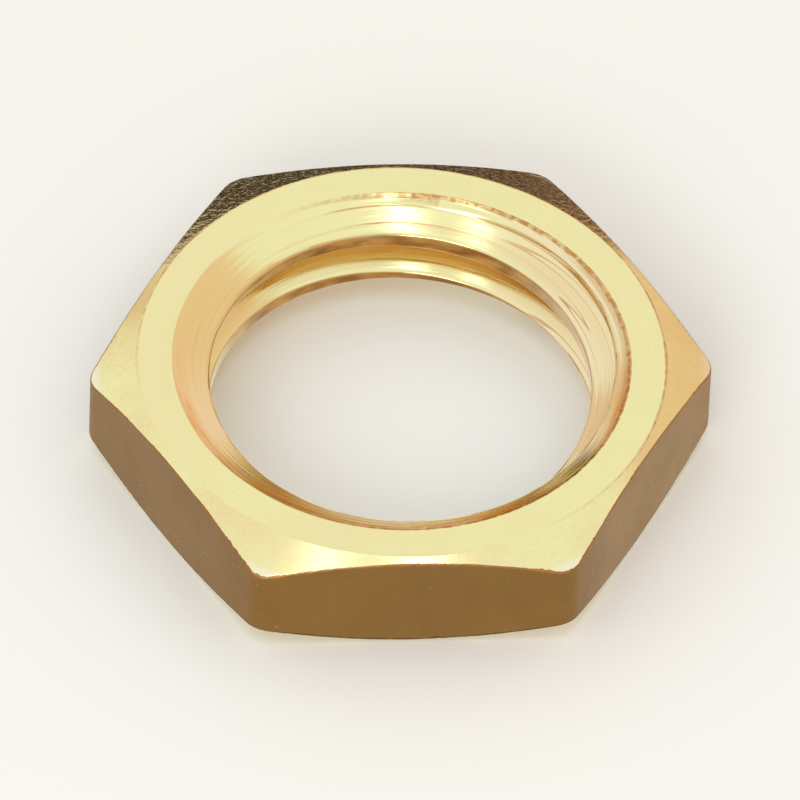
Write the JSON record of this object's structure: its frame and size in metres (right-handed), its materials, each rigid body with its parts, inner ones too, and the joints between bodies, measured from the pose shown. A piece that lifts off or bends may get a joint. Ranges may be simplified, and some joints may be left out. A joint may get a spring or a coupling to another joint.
{
  "type": "hex nut",
  "caption": "Thin brass hex nut with a through thread, countersunk mouths and corner chamfers on both faces.",
  "frame": {"origin": "centre of the bottom face, on the thread's axis", "axes": "+Z along the thread's axis, from the bottom face to the top face; two of the six flats face -Y and +Y, two corners point to -X and +X"},
  "size_m": [0.0172, 0.015, 0.0033],
  "materials": {
    "brass": "machined: turned faces and chamfers, drawn flats, tapped thread"
  },
  "bodies": {
    "root": {"hex_nut": "brass"}
  },
  "joints": []
}
